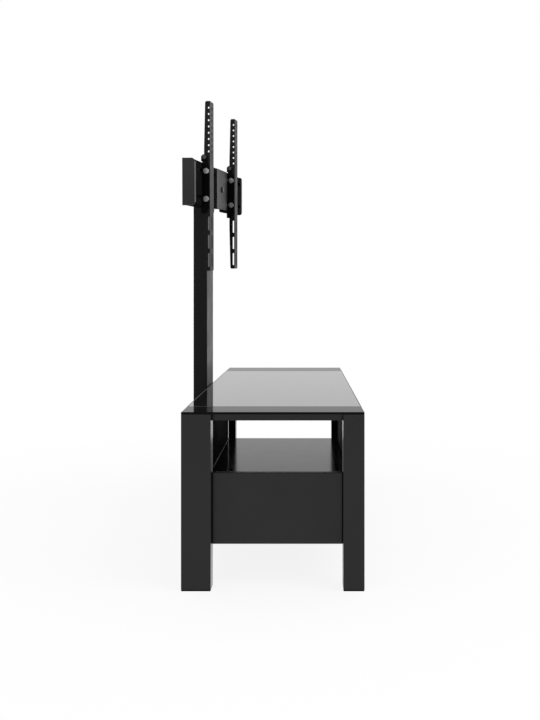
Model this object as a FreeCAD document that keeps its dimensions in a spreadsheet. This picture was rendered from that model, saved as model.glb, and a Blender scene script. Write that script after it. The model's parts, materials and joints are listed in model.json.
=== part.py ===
import FreeCAD, Part
import math
import os
import Sketcher

# A television stand with a post and a swivelling mount. The length runs along X, the doors face -Y, Z is up.
# The floor is at zero height, and the origin is under the middle of the whole object.

doc = FreeCAD.newDocument("TvStand")
sheet = doc.addObject("Spreadsheet::Sheet", "Sizes")

ROWS = (
    # Top and legs
    ("stand_length", 1200, "length of the top"),
    ("stand_depth", 401, "depth of the top"),
    ("stand_height", 391.2, "floor to the top's upper face"),
    ("top_thickness", 5, "glass and end plates"),
    ("left_band_width", 94, "end plate, along the length"),
    ("right_band_width", 142, "end plate, along the length"),
    ("top_edge", 0.5, "ground edge of glass and end plates"),
    ("band_gap", 0.6, "joint between glass and end plate"),
    ("pad_height", 3, "foot pad"),
    ("pad_inset", 0.5, "foot pad inside the leg's outline"),
    ("leg_width", 45, "leg, along the length"),
    ("rear_left_depth", 65, "leg, front to back"),
    ("front_left_depth", 46.4, "leg, front to back"),
    ("rear_right_depth", 26, "leg, front to back"),
    ("front_right_depth", 33, "leg, front to back"),
    ("leg_edge", 1, "broken edge of a leg"),
    # Boards and beams
    ("apron_height", 17.8, "apron under the top"),
    ("panel_thickness", 15, "aprons and end panel"),
    ("panel_recess", 30, "aprons and end panel behind the legs' end faces"),
    ("panel_edge", 1, "broken edge of a board"),
    ("end_panel_bottom", 94.5, "floor to the end panel and lower beams"),
    ("end_panel_top", 253, "floor to the end panel's upper edge"),
    ("shelf_top", 143, "floor to the shelf's upper face"),
    ("shelf_thickness", 18, "shelf board"),
    ("shelf_rear_gap", 1.5, "shelf to back panel"),
    ("beam_depth", 25, "long beams, front to back"),
    ("beam_inset", 14, "front beams and shelf behind the front plane"),
    ("top_beam_height", 39, "beams under the top"),
    ("bumper_height", 1, "clear bumper under the glass"),
    ("bumper_diameter", 12, "clear bumper"),
    ("bumper_offset", 440, "outer bumpers from the middle"),
    ("bumper_count", 5, "bumpers along each beam"),
    ("back_thickness", 3, "back panel"),
    ("back_end_gap", 6, "back panel to the legs' inner faces"),
    ("back_top_gap", 7, "back panel below the top"),
    ("back_bottom_gap", 1, "back panel above the shelf"),
    ("cable_hole_diameter", 60, "hole in the back panel"),
    ("cable_hole_place", 330, "hole from the middle"),
    ("cable_hole_height", 290, "floor to the hole's centre"),
    ("grommet_wall", 2.5, "grommet sleeve"),
    ("grommet_rim", 6, "grommet rim beyond the hole"),
    ("grommet_lip", 2.5, "grommet rim thickness"),
    # Doors
    ("door_thickness", 8, "door panel"),
    ("door_setback", 2, "door behind the front plane"),
    ("door_side_gap", 2, "door to leg"),
    ("door_meeting_gap", 3, "between the two doors"),
    ("door_bottom", 104, "floor to the door's lower edge"),
    ("door_top_gap", 10, "door below the top plates"),
    ("door_edge", 0.8, "ground edge of a door"),
    ("shoe_length", 26, "pivot shoe along the door"),
    ("shoe_inset", 1, "pivot shoe from the door's outer edge"),
    ("shoe_wall", 1.5, "pivot shoe beside the door"),
    ("shoe_height", 18, "pivot shoe up the door"),
    ("shoe_base", 3, "pivot shoe under the door's edge"),
    ("pivot_offset", 8, "pivot axis to the leg"),
    ("pivot_diameter", 4, "pivot pin"),
    ("pivot_sheet", 3, "pivot bracket thickness"),
    ("pivot_reach", 20, "pivot bracket from the leg"),
    ("pivot_width", 10, "pivot bracket, front to back"),
    ("pivot_flange_length", 20, "pivot bracket along the leg"),
    ("catch_length", 44, "magnetic catch"),
    ("catch_depth", 16, "magnetic catch"),
    ("catch_height", 12, "magnetic catch"),
    ("catch_place", 34, "catch from the middle"),
    ("strike_diameter", 14, "strike disc on the door"),
    ("strike_thickness", 1, "strike disc"),
    # Post
    ("post_width", 158, "post, along the length"),
    ("post_thickness", 38.5, "post, front to back"),
    ("post_wall", 2.5, "post tube"),
    ("post_corner", 4, "rounded corner of the tube"),
    ("post_bottom", 70, "floor to the post"),
    ("post_rise", 39, "post above the middle of the mount head"),
    ("cap_height", 4, "post cap above the tube"),
    ("cap_plug", 14, "post cap inside the tube"),
    ("cable_slot_length", 70, "cable opening in the post"),
    ("cable_slot_height", 28, "cable opening in the post"),
    ("cable_slot_rise", 60, "lower cable opening above the top"),
    ("cable_slot_drop", 125, "upper cable opening below the mount head"),
    ("post_bolt_offset", 50, "post bolts from the middle"),
    ("post_bolt_diameter", 8, "bolt shank"),
    ("post_bolt_head", 13, "bolt head"),
    ("post_bolt_head_height", 6, "bolt head"),
    ("post_bolt_grip", 24, "bolt in the beam"),
    ("access_diameter", 18, "tool hole in the post's rear wall"),
    ("bolt_clearance", 0.2, "hole wall round a fixed bolt"),
    # Swivel
    ("head_height", 955.6, "floor to the middle of the mount head"),
    ("swivel_angle", 7.75, "right end forward, as photographed"),
    ("level_angle", 3.3, "right end raised, as photographed"),
    ("pitch_angle", 0.75, "upper side forward, as photographed"),
    ("axis_reach", 13, "swivel axis in front of the post"),
    ("pin_diameter", 10, "swivel pin"),
    ("pin_clearance", 0.05, "hole wall round a pivot"),
    ("pin_head_diameter", 16, "swivel pin head"),
    ("pin_head_height", 4, "swivel pin head"),
    ("clip_thickness", 2, "retaining ring"),
    ("lug_radius", 8.5, "round end of a lug"),
    ("lug_thickness", 6, "lug sheet"),
    ("lug_level", 46, "head middle to the fixed lugs"),
    ("washer_thickness", 1, "thrust washer"),
    ("plate_thickness", 4, "swivel bracket and yoke plates"),
    ("plate_width", 80, "swivel bracket and yoke plates"),
    ("bracket_height", 128, "swivel bracket plate"),
    ("yoke_height", 88, "yoke plate"),
    ("bracket_bolt_offset", 28, "bracket bolts from the middle"),
    ("bracket_bolt_level", 57, "bracket bolts from the head's middle"),
    ("bracket_bolt_diameter", 6, "bracket bolt"),
    ("bracket_bolt_head", 11, "bracket bolt head"),
    ("bracket_bolt_head_height", 4, "bracket bolt head"),
    ("moving_gap", 0.3, "between pieces that move past each other"),
    # Rail
    ("rail_reach", 18.9, "rail's front face in front of the swivel axis"),
    ("rail_length", 578, "channel without its caps"),
    ("rail_height", 118, "channel"),
    ("rail_depth", 30.6, "channel, front to back"),
    ("rail_wall", 3, "channel sheet"),
    ("rail_bend", 8, "outer bend of the channel and its caps"),
    ("rail_notch", 208, "middle stretch with no flanges"),
    ("rail_slot_height", 9, "slot in the rail"),
    ("rail_slot_inner", 64, "slot's inner end from the middle"),
    ("rail_slot_margin", 18.5, "slot's outer end from the channel's end"),
    ("rail_slot_level", 35.5, "slots above and below the middle"),
    ("rail_cover_thickness", 2, "cover in the open rear of the channel"),
    ("rail_cap_thickness", 3, "end cap"),
    ("rail_cap_lip", 1.5, "end cap beyond the channel"),
    ("rail_cap_plug", 12, "end cap inside the channel"),
    ("centre_plate_width", 122, "plate over the rail's middle"),
    ("centre_plate_height", 112, "plate over the rail's middle"),
    ("centre_plate_thickness", 3, "plate over the rail's middle"),
    ("level_bolt_diameter", 8, "level bolt"),
    ("level_head_diameter", 16, "level bolt head"),
    ("level_head_height", 4, "level bolt head"),
    ("level_nut_diameter", 14, "level bolt nut"),
    ("level_nut_height", 5, "level bolt nut"),
    # Hook brackets
    ("hook_sheet", 3, "hook bracket sheet"),
    ("hook_front", 20.3, "hook plate in front of the rail's face"),
    ("hook_claw", 2.7, "claws behind the rail's face"),
    ("hook_rise", 18.5, "ear above the rail"),
    ("hook_drop", 19, "claw below the rail"),
    ("hook_ear_width", 16, "ear, front to back"),
    ("hook_foot_width", 12, "claw below the rail, front to back"),
    ("hook_corner", 5, "cut corners of the ear"),
    ("hook_foot_corner", 1.5, "cut corner of the claw below the rail"),
    ("hook_flange_width", 32, "flange along the rail"),
    ("hook_flange_top", 56, "flange's upper edge from the middle"),
    ("hook_flange_bottom", 14, "flange's lower edge from the middle"),
    ("hook_gap", 0.4, "hook to rail"),
    ("slide_bolt_place", 19, "slide bolt from the hook's side plate"),
    ("slide_bolt_diameter", 8, "slide bolt"),
    ("slide_bolt_head", 15, "slide bolt head"),
    ("slide_bolt_head_height", 4, "slide bolt head"),
    ("slide_nut_height", 6, "slide bolt nut"),
    ("ear_screw_diameter", 5, "safety screw"),
    ("ear_screw_head", 11, "safety screw head"),
    ("ear_screw_head_height", 4, "safety screw head"),
    ("ear_screw_rise", 11, "safety screw above the rail"),
    ("ear_screw_reach", 7.2, "safety screw in front of the rail's face"),
    # Arms
    ("arm_length", 447, "mounting arm"),
    ("arm_width", 40, "arm's front flange"),
    ("arm_depth", 16, "arm's side flange in the middle"),
    ("arm_end_depth", 13, "arm's side flange at the ends"),
    ("arm_wall", 2, "arm sheet"),
    ("arm_reach", 20.7, "arm's front face in front of the rail's face"),
    ("arm_deep_length", 200, "deep stretch of the arm's side flange"),
    ("arm_corner", 3, "cut corner of the arm"),
    ("arm_drop", 6.5, "arm's middle below the middle of the head"),
    ("left_arm_place", 191.2, "left arm's hole line from the middle"),
    ("arm_spacing", 300, "between the arms' hole lines"),
    ("hole_diameter", 8, "mounting hole"),
    ("side_hole_diameter", 5, "hole and slot width in the side flange"),
    ("side_hole_reach", 3.3, "side flange's holes from the arm's face"),
    ("hole_pitch", 16.3, "mounting holes"),
    ("hole_count", 8, "mounting holes in each flange"),
    ("hole_margin", 17.5, "first hole from the arm's upper end"),
    ("arm_slot_length", 36.3, "mounting slot"),
    ("arm_slot_pitch", 48.6, "mounting slots"),
    ("arm_slot_count", 3, "mounting slots in each flange"),
    ("arm_slot_margin", 10.7, "last slot from the arm's lower end"),
    ("tilt_level", 36.5, "tilt bolts above and below their middle"),
    ("tilt_drop", 3, "middle of the tilt bolts below the middle of the head"),
    ("tilt_reach", 11.6, "tilt bolts in front of the rail's face"),
    ("tilt_travel", 4.1, "lock bolt's way forward in its slot"),
    ("tilt_slot_height", 6.8, "lock bolt's slot"),
    ("tilt_bolt_diameter", 6, "tilt bolts"),
    ("tilt_head_diameter", 15, "tilt bolt heads"),
    ("tilt_head_height", 5, "tilt bolt heads"),
    ("tilt_nut_diameter", 10, "tilt bolt nuts"),
    ("tilt_nut_height", 5, "tilt bolt nuts"),
)


class Size:
    """A size as an expression on the sheet, with its present value."""

    def __init__(self, text, value):
        self.text = text
        self.value = value

    def __add__(self, other):
        other = as_size(other)
        return Size(f"({self.text} + {other.text})", self.value + other.value)

    def __sub__(self, other):
        other = as_size(other)
        return Size(f"({self.text} - {other.text})", self.value - other.value)

    def __mul__(self, factor):
        return Size(f"({self.text} * {factor})", self.value * factor)

    def __truediv__(self, divisor):
        return Size(f"({self.text} / {divisor})", self.value / divisor)

    def __neg__(self):
        return self * -1


def as_size(number):
    """A number such as zero joins the sizes of the sheet."""
    if isinstance(number, Size):
        return number
    return Size(str(number), number)


def along(length, function, angle):
    """A length times the sine or cosine of an angle on the sheet."""
    share = getattr(math, function)(math.radians(angle.value))
    return Size(f"({length.text} * {function}({angle.text} * 1 deg))", length.value * share)


def larger(first, second):
    return Size(f"max({first.text}; {second.text})", max(first.value, second.value))


class Sheet:
    """The sheet's sizes, each under its own name."""


size = Sheet()
for row, (alias, value, meaning) in enumerate(ROWS, start=1):
    sheet.set(f"A{row}", meaning)
    sheet.set(f"B{row}", str(value))
    sheet.setAlias(f"B{row}", alias)
    setattr(size, alias, Size(f"Sizes.{alias}", value))
doc.recompute()

nodes = {}

# How far the turned rail reaches behind the post
half_rail = size.rail_length / 2 + size.rail_cap_thickness
half_cap = size.rail_height / 2 + size.rail_cap_lip


def cap_rear(up):
    """How far a rear corner of the left cap lies behind the swivel axis."""
    swing = along(half_rail, "cos", size.level_angle) + along(half_cap, "sin", size.level_angle) * up
    below = along(half_rail, "sin", size.level_angle) - along(half_cap, "cos", size.level_angle) * up
    depth = along(size.rail_depth + size.rail_cap_lip, "cos", size.pitch_angle)
    depth += along(below, "sin", size.pitch_angle) - size.rail_reach
    return along(swing, "sin", size.swivel_angle) + along(depth, "cos", size.swivel_angle)


post_reach = size.axis_reach + size.post_thickness
overhang = larger(larger(cap_rear(1), cap_rear(-1)) - post_reach, as_size(0))

# Placement of the frames: the stand, the swivelling yoke, its pitched plate and the levelled head
back_reach = size.back_thickness + size.post_thickness + overhang
front_plane = -(size.stand_depth + back_reach) / 2
rear_plane = front_plane + size.stand_depth
post_front = rear_plane + size.back_thickness
axis_place = post_front - size.axis_reach
STAND = "placement(vector(0; 0; 0); rotation(vector(0; 0; 1); 0))"
YOKE = (
    f"placement(vector(0; {axis_place.text}; Sizes.head_height);"
    " rotation(vector(0; 0; 1); 0 - Sizes.swivel_angle))"
)
PITCHED = (
    f"{YOKE} * placement(vector(0; {(-size.rail_reach).text}; 0);"
    " rotation(vector(1; 0; 0); Sizes.pitch_angle))"
)
HEAD = f"{PITCHED} * placement(vector(0; 0; 0); rotation(vector(0; 1; 0); 0 - Sizes.level_angle))"
TURNS = {
    "x": "rotation(vector(0; 1; 0); 90)",
    "y": "rotation(vector(1; 0; 0); -90)",
    "z": "rotation(vector(0; 0; 1); 0)",
}


def place(item, at, frame=STAND, along="z"):
    """Binds an object's place in its frame, with its own Z turned along an axis."""
    x, y, z = (as_size(value).text for value in at)
    item.setExpression("Placement", f"{frame} * placement(vector({x}; {y}; {z}); {TURNS[along]})")
    return item


def keep(label, item):
    """Makes an object the sub-part of that name."""
    item.Label = label
    nodes[label] = item
    return item


def block(name, low, high, frame=STAND):
    """A box between two corners."""
    item = doc.addObject("Part::Box", name)
    for side, start, end in zip(("Length", "Width", "Height"), low, high):
        item.setExpression(side, (as_size(end) - start).text)
    return place(item, low, frame)


def rod(name, diameter, length, at, frame=STAND, along="z"):
    """A round bar that starts at a point and runs along an axis."""
    item = doc.addObject("Part::Cylinder", name)
    item.setExpression("Radius", (diameter / 2).text)
    item.setExpression("Height", length.text)
    return place(item, at, frame, along)


def fuse(name, items):
    item = doc.addObject("Part::MultiFuse", name)
    item.Shapes = items
    item.Refine = True
    return item


def group(name, items):
    item = doc.addObject("Part::Compound", name)
    item.Links = items
    return item


def cut(name, base, tools):
    item = doc.addObject("Part::Cut", name)
    item.Base = base
    item.Tool = tools[0] if len(tools) == 1 else fuse(name + "_tools", tools)
    return item


def edged(name, base, width, chosen, kind="Part::Chamfer"):
    """Breaks or rounds the edges that the test chooses."""
    doc.recompute()
    item = doc.addObject(kind, name)
    item.Base = base
    item.Edges = [
        (number, width.value, width.value)
        for number, edge in enumerate(base.Shape.Edges, start=1)
        if chosen(edge)
    ]
    return item


def upright(edge):
    """Whether a straight edge of an unturned piece stands up."""
    first, last = edge.Vertexes[0].Point, edge.Vertexes[-1].Point
    return abs(first.x - last.x) + abs(first.y - last.y) < Part.Precision.confusion()


def every(edge):
    return True


# Sketch based pieces
def body(label):
    item = doc.addObject("PartDesign::Body", label)
    return item


def sketch(owner, role, name, offset=None):
    """A sketch on one of the body's own planes, moved along the plane's normal."""
    item = owner.newObject("Sketcher::SketchObject", name)
    plane = next(feature for feature in owner.Origin.OriginFeatures if feature.Role == role)
    item.AttachmentSupport = [(plane, "")]
    item.MapMode = "FlatFace"
    if offset is not None:
        item.setExpression("AttachmentOffset.Base.z", as_size(offset).text)
    return item


def pin_point(item, geometry, vertex, at):
    """Ties a point of a sketch to the sketch's origin by two bound distances."""
    for kind, value in zip(("DistanceX", "DistanceY"), at):
        value = as_size(value)
        rule = item.addConstraint(Sketcher.Constraint(kind, -1, 1, geometry, vertex, value.value))
        item.setExpression(f"Constraints[{rule}]", value.text)


def polygon(item, points):
    """A closed outline of straight lines."""
    first = item.GeometryCount
    corners = [FreeCAD.Vector(as_size(x).value, as_size(y).value, 0) for x, y in points]
    count = len(corners)
    for index, corner in enumerate(corners):
        item.addGeometry(Part.LineSegment(corner, corners[(index + 1) % count]))
    for index in range(count):
        follower = first + (index + 1) % count
        item.addConstraint(Sketcher.Constraint("Coincident", first + index, 2, follower, 1))
    for index, point in enumerate(points):
        pin_point(item, first + index, 1, point)


def rectangle(item, low, high):
    polygon(item, [low, (high[0], low[1]), high, (low[0], high[1])])


def circle(item, centre, diameter):
    x, y = (as_size(value).value for value in centre)
    ring = Part.Circle(FreeCAD.Vector(x, y, 0), FreeCAD.Vector(0, 0, 1), diameter.value / 2)
    index = item.addGeometry(ring)
    pin_point(item, index, 3, centre)
    rule = item.addConstraint(Sketcher.Constraint("Diameter", index, diameter.value))
    item.setExpression(f"Constraints[{rule}]", diameter.text)


def long_hole(item, start, end, diameter):
    """A slot outline with round ends round two centres, along the sketch's X or Y."""
    level = FreeCAD.Vector(0, 0, 1)
    first, last = (FreeCAD.Vector(*(as_size(value).value for value in at), 0) for at in (start, end))
    ahead = (last - first).normalize() * (diameter.value / 2)
    side = level.cross(ahead)
    lines = [(first - side, last - side), (last + side, first + side)]
    near, far = (item.addGeometry(Part.LineSegment(*points)) for points in lines)
    head = item.addGeometry(Part.Arc(last - side, last + ahead, last + side))
    tail = item.addGeometry(Part.Arc(first + side, first - ahead, first - side))
    for before, after in ((near, head), (head, far), (far, tail), (tail, near)):
        item.addConstraint(Sketcher.Constraint("Tangent", before, 2, after, 1))
    pin_point(item, tail, 3, start)
    pin_point(item, head, 3, end)
    rule = item.addConstraint(Sketcher.Constraint("Diameter", head, diameter.value))
    item.setExpression(f"Constraints[{rule}]", diameter.text)


def pad(owner, profile, thickness, both_ways=False):
    item = owner.newObject("PartDesign::Pad", profile.Name + "_pad")
    item.Profile = profile
    item.setExpression("Length", thickness.text)
    item.Midplane = both_ways
    doc.recompute()
    return item


def pocket(owner, profile):
    """Cuts an outline right through, both ways from its sketch."""
    before = owner.Shape.Volume
    item = owner.newObject("PartDesign::Pocket", profile.Name + "_pocket")
    item.Profile = profile
    item.Type = "ThroughAll"
    item.Midplane = True
    doc.recompute()
    if owner.Shape.Volume >= before:
        raise RuntimeError(f"{profile.Name} cuts nothing")
    return item


def bend(owner, depth, level, radius):
    """Rounds the two edges along X at a depth, above and below the middle."""
    names = []
    for number, edge in enumerate(owner.Shape.Edges, start=1):
        middle = edge.CenterOfMass
        off = abs(middle.y - as_size(depth).value) + abs(abs(middle.z) - level.value)
        if off < Part.Precision.confusion():
            names.append(f"Edge{number}")
    base = owner.Tip
    item = owner.newObject("PartDesign::Fillet", "bend")
    item.Base = (base, names)
    item.setExpression("Radius", radius.text)
    owner.Tip = item
    doc.recompute()
    return item


def row_of(owner, feature, count, pitch):
    """Repeats a cut up along the body's own Z axis."""
    item = owner.newObject("PartDesign::LinearPattern", feature.Name + "_row")
    item.Originals = [feature]
    axis = next(line for line in owner.Origin.OriginFeatures if line.Role == "Z_Axis")
    item.Direction = (axis, [""])
    item.setExpression("Length", (pitch * (count.value - 1)).text)
    item.setExpression("Occurrences", count.text)
    owner.Tip = item
    doc.recompute()
    return item


# Derived places of the stand
half_length = size.stand_length / 2
inner_face = half_length - size.leg_width
top_under = size.stand_height - size.top_thickness
shelf_bottom = size.shelf_top - size.shelf_thickness
beam_top = top_under - size.bumper_height
beam_front = front_plane + size.beam_inset
SIDES = {"left": -1, "right": 1}


def across(low, high, side):
    """Two places along the length, mirrored for the left side and put in order."""
    return (low, high) if side > 0 else (-high, -low)


def make_legs():
    """Legs at the four corners, each on its foot pad."""
    pads = []
    for name, side in SIDES.items():
        start, end = across(inner_face, half_length, side)
        rear = getattr(size, f"rear_{name}_depth")
        front = getattr(size, f"front_{name}_depth")
        for label, low_y, high_y in (
            (f"leg_rear_{name}", rear_plane - rear, rear_plane),
            (f"leg_front_{name}", front_plane, front_plane + front),
        ):
            low = (start, low_y, size.pad_height)
            blank = block(label + "_blank", low, (end, high_y, top_under))
            keep(label, edged(label, blank, size.leg_edge, upright))
            inset = size.pad_inset
            corner = (end - inset, high_y - inset, size.pad_height)
            pads.append(block(label + "_pad", (start + inset, low_y + inset, 0), corner))
    keep("foot_pads", group("foot_pads", pads))


def make_top():
    """Glass between two end plates, resting on bumpers."""
    bands = {}
    for name, side in SIDES.items():
        bands[name] = half_length - getattr(size, f"{name}_band_width")
        start, end = across(bands[name], half_length, side)
        label = f"top_plate_{name}"
        blank = block(label + "_blank", (start, front_plane, top_under), (end, rear_plane, size.stand_height))
        keep(label, edged(label, blank, size.top_edge, every))
    low = (size.band_gap - bands["left"], front_plane, top_under)
    high = (bands["right"] - size.band_gap, rear_plane, size.stand_height)
    blank = block("top_glass_blank", low, high)
    keep("top_glass", edged("top_glass", blank, size.top_edge, every))
    bumpers = []
    count = int(size.bumper_count.value)
    step = size.bumper_offset * 2 / (count - 1)
    for line in (beam_front + size.beam_depth / 2, rear_plane - size.beam_depth / 2):
        for index in range(count):
            at = (step * index - size.bumper_offset, line, beam_top)
            bumpers.append(rod("bumper", size.bumper_diameter, size.bumper_height, at))
    keep("glass_bumpers", group("glass_bumpers", bumpers))


def make_boards():
    """Aprons, end panel, long beams, shelf and back panel."""
    for name, side in SIDES.items():
        outer = half_length - size.panel_recess
        start, end = across(outer - size.panel_thickness, outer, side)
        front = front_plane + getattr(size, f"front_{name}_depth")
        rear = rear_plane - getattr(size, f"rear_{name}_depth")
        label = f"apron_{name}"
        keep(label, block(label, (start, front, top_under - size.apron_height), (end, rear, top_under)))
        if name == "left":
            low = (start, front, size.end_panel_bottom)
            blank = block("end_panel_blank", low, (end, rear, size.end_panel_top))
            keep("end_panel_left", edged("end_panel_left", blank, size.panel_edge, every))
        else:
            low = (start, front, size.end_panel_bottom)
            keep("bottom_beam_right", block("bottom_beam_right", low, (end, rear, shelf_bottom)))
    beams = {
        "front": (beam_front, beam_front + size.beam_depth),
        "rear": (rear_plane - size.beam_depth, rear_plane),
    }
    for name, (front, rear) in beams.items():
        top_low = (-inner_face, front, top_under - size.top_beam_height)
        top_beam = block(f"top_beam_{name}_blank", top_low, (inner_face, rear, beam_top))
        low = (-inner_face, front, size.end_panel_bottom)
        seat = post_front if name == "rear" else rear
        bottom_beam = block(f"bottom_beam_{name}_blank", low, (inner_face, seat, shelf_bottom))
        for level, beam in (("top", top_beam), ("bottom", bottom_beam)):
            label = f"{level}_beam_{name}"
            keep(label, cut(label, beam, post_bolt_holes(label)) if name == "rear" else beam)
    low = (-inner_face, beam_front, shelf_bottom)
    blank = block("shelf_blank", low, (inner_face, rear_plane - size.shelf_rear_gap, size.shelf_top))
    keep("bottom_shelf", edged("bottom_shelf", blank, size.panel_edge, every))
    end = inner_face - size.back_end_gap
    low = (-end, rear_plane, size.shelf_top + size.back_bottom_gap)
    sheet_blank = block("back_blank", low, (end, post_front, top_under - size.back_top_gap))
    holes = post_bolt_holes("back_panel")
    for side in SIDES.values():
        at = (size.cable_hole_place * side, rear_plane, size.cable_hole_height)
        holes.append(rod("cable_hole", size.cable_hole_diameter, size.back_thickness, at, along="y"))
    keep("back_panel", cut("back_panel", sheet_blank, holes))


def make_grommets():
    """A sleeve with a rim in each cable hole of the back panel."""
    rings = []
    for side in SIDES.values():
        x, z = size.cable_hole_place * side, size.cable_hole_height
        outer = rod("sleeve", size.cable_hole_diameter, size.back_thickness, (x, rear_plane, z), along="y")
        rim_diameter = size.cable_hole_diameter + size.grommet_rim * 2
        rim = rod("rim", rim_diameter, size.grommet_lip, (x, post_front, z), along="y")
        bore = size.cable_hole_diameter - size.grommet_wall * 2
        length = size.back_thickness + size.grommet_lip
        opening = rod("bore", bore, length, (x, rear_plane, z), along="y")
        rings.append(cut("grommet", fuse("grommet_blank", [outer, rim]), [opening]))
    keep("cable_grommets", group("cable_grommets", rings))


# Doors
door_front = front_plane + size.door_setback
door_rear = door_front + size.door_thickness
door_top = top_under - size.door_top_gap
pivot_line = door_front + size.door_thickness / 2
pivot_place = inner_face - size.pivot_offset
pivot_hole = size.pivot_diameter + size.pin_clearance * 2


def make_door(name, side):
    """A door panel with a shoe on its outer corners, and the pivot brackets on the leg."""
    outer = inner_face - size.door_side_gap
    start, end = across(size.door_meeting_gap / 2, outer, side)
    label = f"door_{name}"
    low = (start, door_front, size.door_bottom)
    blank = block(label + "_blank", low, (end, door_rear, door_top))
    keep(label, edged(label, blank, size.door_edge, every))
    shoes = []
    brackets = []
    shoe_outer = outer - size.shoe_inset
    shoe_start, shoe_end = across(shoe_outer - size.shoe_length, shoe_outer, side)
    tab_start, tab_end = across(inner_face - size.pivot_reach, inner_face, side)
    flange_start, flange_end = across(inner_face - size.pivot_sheet / 2, inner_face, side)
    x = pivot_place * side
    for edge, up in ((size.door_bottom, -1), (door_top, 1)):
        shoe_low, shoe_high = ordered(edge - size.shoe_height * up, edge + size.shoe_base * up)
        shoe = block(
            "shoe_blank",
            (shoe_start, door_front - size.shoe_wall, shoe_low),
            (shoe_end, door_rear + size.shoe_wall, shoe_high),
        )
        throat_low, throat_high = ordered(edge - size.shoe_height * up, edge)
        throat = block("throat", (shoe_start, door_front, throat_low), (shoe_end, door_rear, throat_high))
        base_low, base_high = ordered(edge, edge + size.shoe_base * up)
        hole = rod("pivot_hole", pivot_hole, base_high - base_low, (x, pivot_line, base_low))
        shoes.append(cut("shoe", shoe, [throat, hole]))
        face = edge + (size.shoe_base + size.moving_gap) * up
        tab_low, tab_high = ordered(face, face + size.pivot_sheet * up)
        half = size.pivot_width / 2
        tab = block("tab", (tab_start, pivot_line - half, tab_low), (tab_end, pivot_line + half, tab_high))
        flange_end_height = face + size.pivot_sheet * up if up > 0 else face - size.pivot_flange_length
        flange_low, flange_high = ordered(face, flange_end_height)
        flange = block(
            "flange",
            (flange_start, pivot_line - half, flange_low),
            (flange_end, pivot_line + half, flange_high),
        )
        pin_low, pin_high = ordered(face, edge + size.moving_gap * up)
        pin = rod("pin", size.pivot_diameter, pin_high - pin_low, (x, pivot_line, pin_low))
        brackets.append(fuse("pivot_bracket", [tab, flange, pin]))
    keep(f"door_shoes_{name}", group(f"door_shoes_{name}", shoes))
    keep(f"door_pivots_{name}", group(f"door_pivots_{name}", brackets))
    at = (size.catch_place * side, door_rear, catch_middle)
    strike = rod(f"door_strike_{name}", size.strike_diameter, size.strike_thickness, at, along="y")
    keep(f"door_strike_{name}", strike)


def ordered(first, second):
    """Two heights, the lower one first."""
    return (first, second) if first.value <= second.value else (second, first)


catch_top = top_under - size.top_beam_height
catch_middle = catch_top - size.catch_height / 2


def make_catches():
    """Magnetic catches under the front beam, one for each door."""
    catches = []
    catch_front = door_rear + size.strike_thickness + size.moving_gap
    for side in SIDES.values():
        middle = size.catch_place * side
        half = size.catch_length / 2
        low = (middle - half, catch_front, catch_top - size.catch_height)
        catches.append(block("catch", low, (middle + half, beam_front + size.catch_depth, catch_top)))
    keep("door_catches", group("door_catches", catches))


# Post
post_rear = post_front + size.post_thickness
post_top = size.head_height + size.post_rise
bolt_hole = size.post_bolt_diameter + size.bolt_clearance * 2
POST_BOLT_HEIGHTS = (
    top_under - size.top_beam_height / 2,
    (size.end_panel_bottom + shelf_bottom) / 2,
)


def post_bolt_places():
    return [(size.post_bolt_offset * side, z) for side in SIDES.values() for z in POST_BOLT_HEIGHTS]


def post_bolt_holes(name):
    """Holes for the post's bolts, from the beams' inner face to the post's inside."""
    start = rear_plane - size.beam_depth
    length = post_front + size.post_wall - start
    return [
        rod(name + "_bolt_hole", bolt_hole, length, (x, start, z), along="y")
        for x, z in post_bolt_places()
    ]


def make_post():
    """A flat tube with cable openings in its rear wall, a cap at each end, and its bolts."""
    half = size.post_width / 2
    wall = size.post_wall
    outer = block("post_outer", (-half, post_front, size.post_bottom), (half, post_rear, post_top))
    outer = edged("post_rounded", outer, size.post_corner, upright, "Part::Fillet")
    inside_low = (-half + wall, post_front + wall, size.post_bottom)
    inside_high = (half - wall, post_rear - wall, post_top)
    tools = [block("post_inside", inside_low, inside_high)]
    tools += post_bolt_holes("post")
    for x, z in post_bolt_places():
        tools.append(rod("tool_hole", size.access_diameter, wall, (x, post_rear - wall, z), along="y"))
    for z in (size.stand_height + size.cable_slot_rise, size.head_height - size.cable_slot_drop):
        reach = (size.cable_slot_length - size.cable_slot_height) / 2
        height = size.cable_slot_height / 2
        low = (-reach, post_rear - wall, z - height)
        tools.append(block("cable_slot", low, (reach, post_rear, z + height)))
        for side in SIDES.values():
            at = (reach * side, post_rear - wall, z)
            tools.append(rod("cable_slot_end", size.cable_slot_height, wall, at, along="y"))
    tools += bracket_bolt_holes("post")
    keep("post", cut("post", outer, tools))
    for name, end, up in (("top", post_top, 1), ("bottom", size.post_bottom, -1)):
        low, high = ordered(end, end + size.cap_height * up)
        cover = block("cap_cover", (-half, post_front, low), (half, post_rear, high))
        cover = edged("cap_rounded", cover, size.post_corner, upright, "Part::Fillet")
        low, high = ordered(end, end - size.cap_plug * up)
        plug = block(
            "cap_plug",
            (-half + wall, post_front + wall, low),
            (half - wall, post_rear - wall, high),
        )
        label = f"post_cap_{name}"
        keep(label, fuse(label, [cover, plug]))
    bolts = []
    for x, z in post_bolt_places():
        head_face = post_front + wall
        length = size.post_bolt_grip + size.back_thickness + wall
        shank = rod("shank", size.post_bolt_diameter, length, (x, head_face - length, z), along="y")
        head = rod("head", size.post_bolt_head, size.post_bolt_head_height, (x, head_face, z), along="y")
        bolts.append(fuse("post_bolt", [shank, head]))
    keep("post_bolts", group("post_bolts", bolts))


# Swivel
lug_hole = size.pin_diameter + size.pin_clearance * 2
LUG_SIDES = (-1, 1)


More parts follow.
